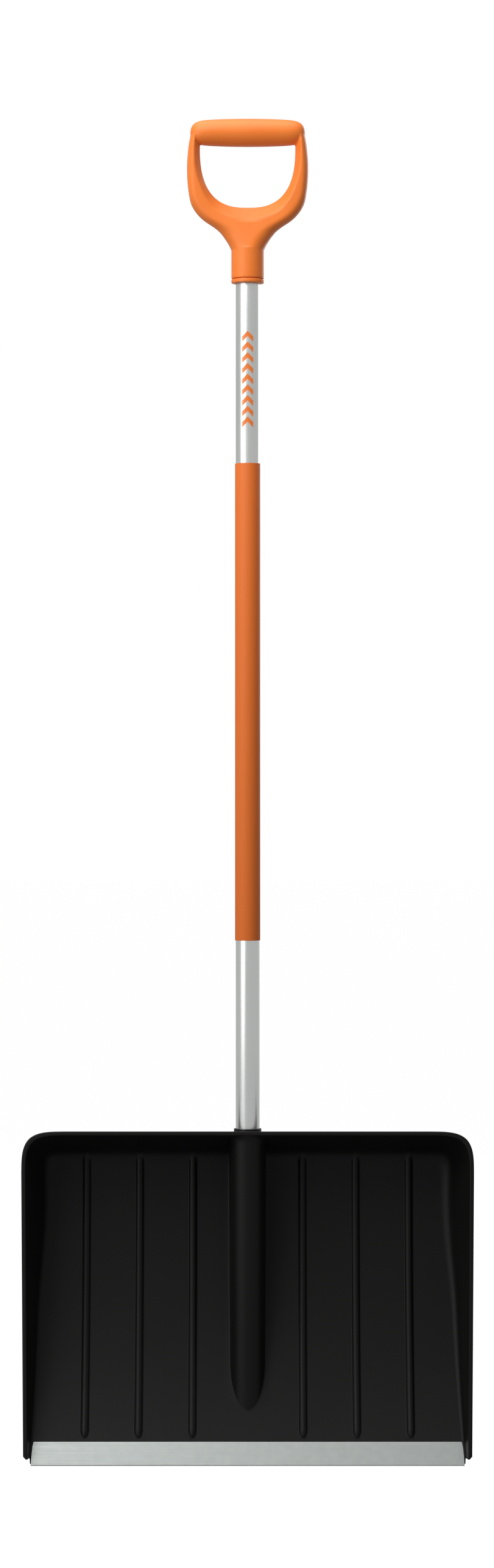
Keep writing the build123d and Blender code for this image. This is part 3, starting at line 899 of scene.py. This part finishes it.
def pan_point(radius, height):
    """A point of the channel's section, on a circle about the pan's axis."""
    drop = PAN_AXIS.z - height
    return Vector((edge_low.x, PAN_AXIS.y + math.sqrt(radius ** 2 - drop ** 2), height))


front_inner = PAN_RADIUS + EDGE_SHEET
rear_inner = PAN_RADIUS + TONGUE_WALL + FIT
rear_outer = rear_inner + EDGE_SHEET
section = [pan_point(radius, height) for radius, height in (
    (PAN_RADIUS, 0.0), (PAN_RADIUS, EDGE_FRONT), (front_inner, EDGE_FRONT),
    (front_inner, EDGE_WEB), (rear_inner, EDGE_WEB), (rear_inner, EDGE_REAR),
    (rear_outer, EDGE_REAR), (rear_outer, 0.0),
)]
bm = bmesh.new()
corners = [bm.verts.new(place) for place in section]
start = bm.faces.new(corners)
pushed = bmesh.ops.extrude_face_region(bm, geom=[start])
moved = [item for item in pushed["geom"] if isinstance(item, bmesh.types.BMVert)]
bmesh.ops.translate(bm, verts=moved, vec=(edge_high.x - edge_low.x, 0, 0))
bmesh.ops.recalc_face_normals(bm, faces=bm.faces)
sole = [
    edge for edge in bm.edges
    if all(v.co.z < 0.01 and v.co.y < corners[0].co.y + 0.1 for v in edge.verts)
]
ends = [edge for edge in bm.edges if len({round(v.co.x) for v in edge.verts}) == 1]
long_sharp = [
    edge for edge in bm.edges
    if edge not in ends and edge not in sole and edge.calc_face_angle(0) > 0.5
]
bmesh.ops.bevel(
    bm, geom=sole, affect="EDGES", offset=EDGE_WORN, segments=3, profile=0.5, material=-1
)
bmesh.ops.bevel(
    bm, geom=[edge for edge in long_sharp if edge.is_valid], affect="EDGES",
    offset=EDGE_BREAK, segments=2, profile=0.5, material=-1,
)
finish_piece(bm, "wear_edge_channel", EDGE, ("wear_edge",), False)

# %% [markdown]
# ## Rivets
# Domed blind rivets come in from behind, so the front of the channel stays plain. Each is a ball
# flattened to a dome and turned square to the pan.

# %% Rivets
RIVET_COUNT = 6
RIVET_HEAD = 3.6
RIVET_DOME = 0.36           # height of the dome as a share of its radius
RIVET_HEIGHT = 13.0
slope = math.asin((PAN_AXIS.z - RIVET_HEIGHT) / PAN_RADIUS)
pitch = (edge_high.x - edge_low.x) / RIVET_COUNT
bm = bmesh.new()
for count in range(RIVET_COUNT):
    seat = pan_point(rear_outer, RIVET_HEIGHT)
    seat.x = (count - (RIVET_COUNT - 1) / 2) * pitch
    place = Matrix.Translation(seat) @ Matrix.Rotation(slope, 4, "X").inverted()
    place = place @ Matrix.Diagonal((1, RIVET_DOME, 1, 1))
    bmesh.ops.create_uvsphere(
        bm, u_segments=32, v_segments=16, radius=RIVET_HEAD, matrix=place
    )
finish_piece(bm, "rivet_heads", EDGE, ("wear_edge_rivets",))

# %% [markdown]
# ## Tube and sleeve
# Both are bodies of revolution. A short profile line is spun about the shaft, which gives an
# even wall, clean ends and smooth shading at any distance.

# %% Tube and sleeve
TUBE_WALL = 1.3
CUT_BEVEL = 0.3             # of a deburred cut


def spun(profile, bevel, segments=96):
    """Spin a closed profile of (radius, height) points about the shaft's axis."""
    bm = bmesh.new()
    verts = [bm.verts.new((radius, 0, height)) for radius, height in profile]
    edges = [bm.edges.new((a, b)) for a, b in zip(verts, verts[1:] + verts[:1])]
    bmesh.ops.spin(
        bm, geom=verts + edges, cent=(0, 0, 0), axis=(0, 0, 1), angle=2 * math.pi,
        steps=segments, use_merge=True,
    )
    bmesh.ops.remove_doubles(bm, verts=bm.verts, dist=0.0001)
    bmesh.ops.recalc_face_normals(bm, faces=bm.faces)
    bmesh.ops.translate(bm, verts=bm.verts, vec=(0, SHAFT_Y, 0))
    sharp = [edge for edge in bm.edges if edge.calc_face_angle(0) > 0.7]
    bmesh.ops.bevel(
        bm, geom=sharp, affect="EDGES", offset=bevel, segments=3, profile=0.5, material=-1
    )
    return bm


def pipe(inner, outer, low, high, bevel):
    """A straight pipe about the shaft's axis, between two heights."""
    return spun([(inner, low), (outer, low), (outer, high), (inner, high)], bevel)


bm = pipe(TUBE_RADIUS - TUBE_WALL, TUBE_RADIUS, tube_low.z, tube_high.z, CUT_BEVEL)
finish_piece(bm, "drawn_tube", TUBE, ("shaft_tube",))
sleeve_radius = (sleeve_high.x - sleeve_low.x) / 2
bm = pipe(BORE_RADIUS, sleeve_radius, sleeve_low.z, sleeve_high.z, CUT_BEVEL)
finish_piece(bm, "soft_sleeve", SLEEVE, ("grip_sleeve",))

# %% [markdown]
# ## The shaft socket behind the scoop
# The tube sits in a socket moulded behind the hump. The scoop's back is open there, so a round
# sleeve, a row of cross webs, one long web and a cap at the top carry the load into the pan. All
# of it is the same black plastic. The sleeve is spun, and the flat parts are blocks that run into
# it and into the shell, as they are one moulding with them.


# %% Blocks and bars
def back_y(height):
    """The y of the pan's back at a height."""
    return PAN_AXIS.y + math.sqrt((PAN_RADIUS + WALL) ** 2 - (PAN_AXIS.z - height) ** 2)


def plate(bm, half_x, y_low, y_high, z_low, z_high):
    """A flat block between two depths and two heights."""
    size = Matrix.Diagonal((2 * half_x, y_high - y_low, z_high - z_low, 1.0))
    middle = (0, (y_low + y_high) / 2, (z_low + z_high) / 2)
    bmesh.ops.create_cube(bm, size=1.0, matrix=Matrix.Translation(middle) @ size)


def wall_plate(bm, x_low, x_high, d_low, d_high):
    """A piece of the top wall, between two depths behind the rim's plane."""
    along = (BACK + DOWN * DRAFT).normalized()
    up = Vector((1, 0, 0)).cross(along)
    depth = (d_low + d_high) / 2
    middle = RIM_TOP + DOWN * (RIM_WIDTH + depth * DRAFT) + BACK * depth + up * (WALL / 2)
    middle.x = (x_low + x_high) / 2
    turn = Matrix((Vector((1, 0, 0)), along, up)).transposed().to_4x4()
    size = Matrix.Diagonal((x_high - x_low, (d_high - d_low) * math.hypot(1, DRAFT), WALL, 1.0))
    bmesh.ops.create_cube(bm, size=1.0, matrix=Matrix.Translation(middle) @ turn @ size)


def bar(bm, radius, length, middle, segments, lying=False):
    """A round bar, upright or lying from front to back."""
    turn = Matrix.Rotation(math.radians(90), 4, "X") if lying else Matrix()
    bmesh.ops.create_cone(
        bm, cap_ends=True, segments=segments, radius1=radius, radius2=radius, depth=length,
        matrix=Matrix.Translation(middle) @ turn,
    )


print("pan's back behind the hump, mm behind the shaft:", round(back_y(200.0) - SHAFT_Y, 1))

# %% Shaft socket
SOCKET_RADIUS = 17.3
COLLAR_RADIUS = 16.2
SOCKET_FOOT = tube_low.z - 3.0
SOCKET_CHAMFER = 3.0
TUBE_SEAT = tube_low.z - 0.2
SHOULDER_LOW = TOP_Z - 8.0  # where the socket narrows to the collar
SHOULDER_HIGH = TOP_Z - 5.0
WEB = 2.6
WEB_PITCH = 48.0
WEB_HALF = HUMP_RADIUS - 2.0
WEB_GAP = 1.5               # between a cross web and the tube
CROSS_BITE = 0.5            # how deep the webs run into the pan's wall
LONG_BITE = 1.0
WEB_TOP = TOP_Z - 20.0
WEB_STEPS = 24              # blocks that the long web is built from, to follow the pan
WEB_CLEAR = 18.0            # room round the screw
CAP_HALF = HUMP_RADIUS + 3.5
CAP_SLOT = TUBE_RADIUS + 0.8
CAP_SLOT_END = 39.0         # depth behind the rim's plane
PAD_RADIUS = 7.5
PAD_DEPTH = 4.0

bm = spun([
    (0.0, SOCKET_FOOT), (SOCKET_RADIUS - SOCKET_CHAMFER, SOCKET_FOOT),
    (SOCKET_RADIUS, SOCKET_FOOT + SOCKET_CHAMFER), (SOCKET_RADIUS, SHOULDER_LOW),
    (COLLAR_RADIUS, SHOULDER_HIGH), (COLLAR_RADIUS, BLADE_TOP), (BORE_RADIUS, BLADE_TOP),
    (BORE_RADIUS, TUBE_SEAT), (0.0, TUBE_SEAT),
], bevel=0.4)
screw_low, screw_high = box_mm("blade_screw")
screw_z = (screw_low.z + screw_high.z) / 2
level = screw_z + WEB_PITCH
while level < TOP_Z - WEB_PITCH:
    plate(
        bm, WEB_HALF, SHAFT_Y + TUBE_RADIUS + WEB_GAP, back_y(level) - CROSS_BITE,
        level - WEB / 2, level + WEB / 2,
    )
    level += WEB_PITCH
wall_plate(bm, -CAP_HALF, CAP_HALF, CAP_SLOT_END - 0.5, pan_depth(CROWN_V) - 2.0)
wall_plate(bm, CAP_SLOT, CAP_HALF, RIM_DEPTH, CAP_SLOT_END)
wall_plate(bm, -CAP_HALF, -CAP_SLOT, RIM_DEPTH, CAP_SLOT_END)
web_foot = screw_z + WEB_CLEAR
for count in range(WEB_STEPS):
    low = web_foot + (WEB_TOP - web_foot) * count / WEB_STEPS
    high = web_foot + (WEB_TOP - web_foot) * (count + 1) / WEB_STEPS
    rear = back_y((low + high) / 2) - LONG_BITE
    plate(bm, WEB / 2, SHAFT_Y + SOCKET_RADIUS - 1.0, rear, low, high)
bar(bm, PAD_RADIUS, PAD_DEPTH, (0, SHAFT_Y + SOCKET_RADIUS - 0.2, screw_z), 48, lying=True)
socket_piece = finish_piece(bm, "shaft_socket", BLACK)
for face in socket_piece.data.polygons:     # the blocks' large faces stay flat
    face.use_smooth = face.area < 4e-5 and abs(face.normal.z) < 0.9

# %% [markdown]
# ## Screws and plugs
# The CAD shapes of these small parts are already right, so they keep their meshes and only get
# their finish.

# %% Finishes for the CAD pieces that stay
CAD_FINISHES = {
    "blade_screw": ZINC, "grip_screw": ZINC, "lower_tube_plug": BLACK, "upper_tube_plug": BLACK,
}
for name, material in CAD_FINISHES.items():
    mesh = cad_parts[name].data
    mesh.materials.clear()
    mesh.materials.append(material)
print("CAD pieces finished:", len(CAD_FINISHES))

# %% [markdown]
# ## The D-grip
# The grip is one thick orange moulding: a barrel-shaped crossbar, two arms that widen into a
# yoke, and a round neck that takes the tube. The arms and yoke are swept between two curves, the
# opening and the outline, with a broad bevel round the opening that suits a gloved hand. The
# three bodies are then joined by a voxel remesh and smoothed, which gives the soft blends that a
# moulder would cut, and the bore is taken out last so that the tube still fits.

# %% Curves of the D-grip
BAR_RADIUS = 16.5               # of the crossbar, at its middle
BAR_Z = grip_high.z - BAR_RADIUS
BAR_HALF = 67.6                 # half length of the crossbar, over its domed ends
GRIP_HALF = 71.5                # half width over the arms
OPENING_HALF = 56.2
OPENING_TOP = BAR_Z - 14.8
OPENING_DEPTH = 73.7
OPENING_POWER = 2.65            # 2 would be an ellipse, and more is squarer
BAR_SHARE = 0.1                 # the part of an arm that lies beside the crossbar
NECK_SHARE = 0.86               # where the yoke's outline has come in to the neck
NECK_RADIUS = 19.2
NECK_TOP = grip_low.z + 39.0
OUTLINE = [                     # share of the way down an arm, half width, height
    (0.00, 65.2, 1571.5), (0.10, 69.7, 1548.0), (0.27, GRIP_HALF, 1520.0), (0.52, 69.2, 1491.0),
    (0.62, 64.9, 1476.0), (0.70, 54.0, 1462.3), (0.78, 34.2, 1448.0), (0.82, 23.6, 1434.0),
    (NECK_SHARE, NECK_RADIUS, NECK_TOP),
]


def along_outline(share, key=0):
    """Half width and height of the outline, smooth through its points."""
    points = OUTLINE if key == 0 else OUTLINE[::-1]
    last = len(points) - 1
    spot = max(i for i in range(last) if points[i][key] <= share or i == 0)
    a, b = points[spot], points[spot + 1]
    before, after = points[max(spot - 1, 0)], points[min(spot + 2, last)]
    span = b[key] - a[key]
    t = clamp((share - a[key]) / span)
    result = []
    for axis in (1, 2):
        out = (b[axis] - before[axis]) / (b[key] - before[key]) * span
        into = (after[axis] - a[axis]) / (after[key] - a[key]) * span
        result.append(
            a[axis] * (2 * t ** 3 - 3 * t ** 2 + 1) + out * (t ** 3 - 2 * t ** 2 + t)
            + b[axis] * (3 * t ** 2 - 2 * t ** 3) + into * (t ** 3 - t ** 2)
        )
    return result


def grip_curves(share):
    """Points on the opening and the outline at a share of the way from bar to middle."""
    if share < BAR_SHARE:
        inner = (OPENING_HALF, OPENING_TOP + (BAR_Z - OPENING_TOP) * (1 - share / BAR_SHARE))
    else:
        angle = math.radians(90) * (share - BAR_SHARE) / (1 - BAR_SHARE)
        power = 2 / OPENING_POWER
        inner = (
            OPENING_HALF * max(math.cos(angle), 0.0) ** power,
            OPENING_TOP - OPENING_DEPTH * math.sin(angle) ** power,
        )
    if share < NECK_SHARE:
        return inner, along_outline(share)
    return inner, (NECK_RADIUS * (1 - share) / (1 - NECK_SHARE), NECK_TOP)


print("opening, mm:", 2 * OPENING_HALF, "wide at its top and", OPENING_DEPTH, "deep")

# %% Thickness of the D-grip
ARM_DEPTH = 13.0                # half depth of the arms, front to back
ARM_END_RADIUS = 14.2           # rounds the arms' ends over the crossbar
ARM_END_LEAST = 3.0
DEPTH_RUN = 50.0                # height below the opening over which it grows to the neck's
DEPTH_POWER = 1.5
ARM_ROUND = 9.0                 # how far the rounding of the outline reaches in, on the arms
YOKE_ROUND = 21.0               # and on the yoke
YOKE_Z = 1490.0                 # where it starts to grow, and over what height
YOKE_RUN = 45.0
NECK_RUN = 10.0                 # height over which it turns into the neck's round
OPENING_EDGE = 3.0              # half thickness of the moulding at the opening
EDGE_BLEND = 1.2


def half_depth(x, z, from_opening, bevel_width):
    """Half the moulding's depth at a point of the arms or the yoke."""
    lower = clamp((OPENING_TOP - OPENING_DEPTH - z) / DEPTH_RUN)
    full = ARM_DEPTH + (NECK_RADIUS - ARM_DEPTH) * lower ** DEPTH_POWER
    if z > BAR_Z:
        full = min(full, math.sqrt(max(ARM_END_RADIUS ** 2 - (z - BAR_Z) ** 2, ARM_END_LEAST ** 2)))
    reach = ARM_ROUND + (YOKE_ROUND - ARM_ROUND) * clamp((YOKE_Z - z) / YOKE_RUN)
    reach += (NECK_RADIUS - reach) * clamp((NECK_TOP + NECK_RUN - z) / NECK_RUN)
    silhouette = along_outline(z, 2)[0]
    beyond = max(0.0, 1.0 - max(silhouette - x, 0.0) / reach)
    envelope = full * math.sqrt(max(1.0 - beyond * beyond, 0.0))
    share = min(from_opening / bevel_width, 1.0)
    bevel = OPENING_EDGE + (full - OPENING_EDGE) * share
    return max(smooth_min(bevel, envelope, EDGE_BLEND), 0.0)


print("half depth of an arm beside the opening:", half_depth(64.0, 1520.0, 8.0, 7.0))

# %% [markdown]
# ### Arms and yoke
# A grid is bent into a tube: its length runs from the left arm round to the right one, and its
# width runs over the front from the opening to the outline and back over the rear. Only the two
# ends beside the crossbar stay open, and they are filled.

# %% Arms and yoke, swept between the two curves
STATIONS = 160
ACROSS = 18
ARM_BEVEL = 7.0                 # width of the bevel round the opening, on the arms
YOKE_BEVEL = 17.0               # and at the middle of the yoke
BEVEL_START = 0.45

bm = bmesh.new()
bmesh.ops.create_grid(bm, x_segments=STATIONS, y_segments=2 * ACROSS, size=1.0)
for vert in bm.verts:
    turn = vert.co.x                                   # -1 left arm, +1 right arm
    row = round((vert.co.y + 1) / 2 * (2 * ACROSS)) % (2 * ACROSS)    # last row meets the first
    side = -1 if row < ACROSS else 1
    spread = row if row < ACROSS else 2 * ACROSS - 1 - row
    share = 1 - abs(turn)
    (in_x, in_z), (out_x, out_z) = grip_curves(share)
    portion = (1 - math.cos(math.pi * spread / (ACROSS - 1))) / 2
    x = in_x + (out_x - in_x) * portion
    z = in_z + (out_z - in_z) * portion
    width = math.hypot(out_x - in_x, out_z - in_z)
    widening = max(0.0, share - BEVEL_START) / (1 - BEVEL_START)
    bevel_width = ARM_BEVEL + (YOKE_BEVEL - ARM_BEVEL) * widening
    y = side * half_depth(x, z, portion * width, bevel_width)
    vert.co = (math.copysign(x, turn), SHAFT_Y + y, z)
bmesh.ops.remove_doubles(bm, verts=bm.verts, dist=0.01)
bmesh.ops.recalc_face_normals(bm, faces=bm.faces)
open_rims = [edge for edge in bm.edges if edge.is_boundary]
print("arms and yoke:", len(bm.faces), "faces, open edges", len(open_rims))
bmesh.ops.holes_fill(bm, edges=open_rims)

# %% [markdown]
# ### Crossbar and neck
# The crossbar is a ball stretched to a barrel with squarish ends, because a barrel fills the palm.
# The neck is a plain round bar. Both run into the arms and the yoke, and are joined to them next.

# %% Crossbar and neck
BAR_TAPER = 2.8                 # how much thinner the crossbar would be at the grip's full width
BAR_SQUARE = 12                 # squareness of its ends
LIP_HEIGHT = 4.5
LIP_RING = 0.5                  # gap between the lip and the neck's end

ball = bmesh.ops.create_uvsphere(bm, u_segments=96, v_segments=72, radius=1.0)
for vert in ball["verts"]:
    x = BAR_HALF * vert.co.z
    end = math.sqrt(max(0.0, 1 - abs(vert.co.z) ** BAR_SQUARE))
    girth = (BAR_RADIUS - BAR_TAPER * (x / GRIP_HALF) ** 2) * end
    around = math.atan2(vert.co.y, vert.co.x)
    vert.co = (x, SHAFT_Y + girth * math.cos(around), BAR_Z + girth * math.sin(around))
neck_foot = grip_low.z + LIP_HEIGHT + LIP_RING
neck_end = NECK_TOP + 2.0
bar(bm, NECK_RADIUS, neck_end - neck_foot, (0, SHAFT_Y, (neck_end + neck_foot) / 2), 96)
grip = finish_piece(bm, "d_grip_moulding", ORANGE, ("d_grip",))

# %% [markdown]
# ### Join, smooth and bore the grip
# A voxel remesh makes one skin over the crossing bodies, and a smoothing rounds the corners
# between them. A drill with the bore's and the screw recess's shape is then taken out. The three
# modifiers are baked into the mesh, because the drill isn't kept.

# %% Drill
RECESS_RADIUS = 5.0
RECESS_LENGTH = 10.0
HEAD_DEPTH = 2.6                # how far the screw's head is sunk

drill_bm = bmesh.new()
bore_top = tube_high.z + 1.0
bore_foot = grip_low.z - 5.0
bar(drill_bm, BORE_RADIUS, bore_top - bore_foot, (0, SHAFT_Y, (bore_top + bore_foot) / 2), 128)
head_low, head_high = box_mm("grip_screw")
recess_y = head_high.y - HEAD_DEPTH + RECESS_LENGTH / 2
recess_z = (head_low.z + head_high.z) / 2
bar(drill_bm, RECESS_RADIUS, RECESS_LENGTH, (0, recess_y, recess_z), 64, lying=True)
bmesh.ops.transform(drill_bm, matrix=Matrix.Scale(0.001, 4), verts=drill_bm.verts)
drill = new_object(drill_bm, "drill")
print("bore, mm deep:", round(bore_top - grip_low.z))

# %% Join, smooth and bore
VOXEL = 0.0009                  # 0.9 mm, in metres

remesh = grip.modifiers.new("join", "REMESH")
remesh.mode = "VOXEL"
remesh.voxel_size = VOXEL
smooth = grip.modifiers.new("smooth", "SMOOTH")
smooth.factor = 0.5
smooth.iterations = 5
cut = grip.modifiers.new("bore", "BOOLEAN")
cut.operation = "DIFFERENCE"
cut.object = drill
bpy.context.view_layer.update()
depsgraph = bpy.context.evaluated_depsgraph_get()
finished = bpy.data.meshes.new_from_object(grip.evaluated_get(depsgraph))
grip.modifiers.clear()
grip.data = finished
for face in finished.polygons:
    face.use_smooth = face.area < 1e-5      # all but the drill's flat ends
finished.materials.clear()
finished.materials.append(ORANGE)
bpy.data.objects.remove(drill)
print("grip:", len(finished.polygons), "faces")

# %% [markdown]
# ### Lip of the neck
# The neck ends in a rounded lip, set off by a fine ring. It is spun like the tube, with a larger
# bevel, because the remesh would wash out so fine a groove.

# %% Lip of the neck
bm = pipe(BORE_RADIUS, NECK_RADIUS, grip_low.z, grip_low.z + LIP_HEIGHT, 0.9)
finish_piece(bm, "neck_lip", ORANGE)
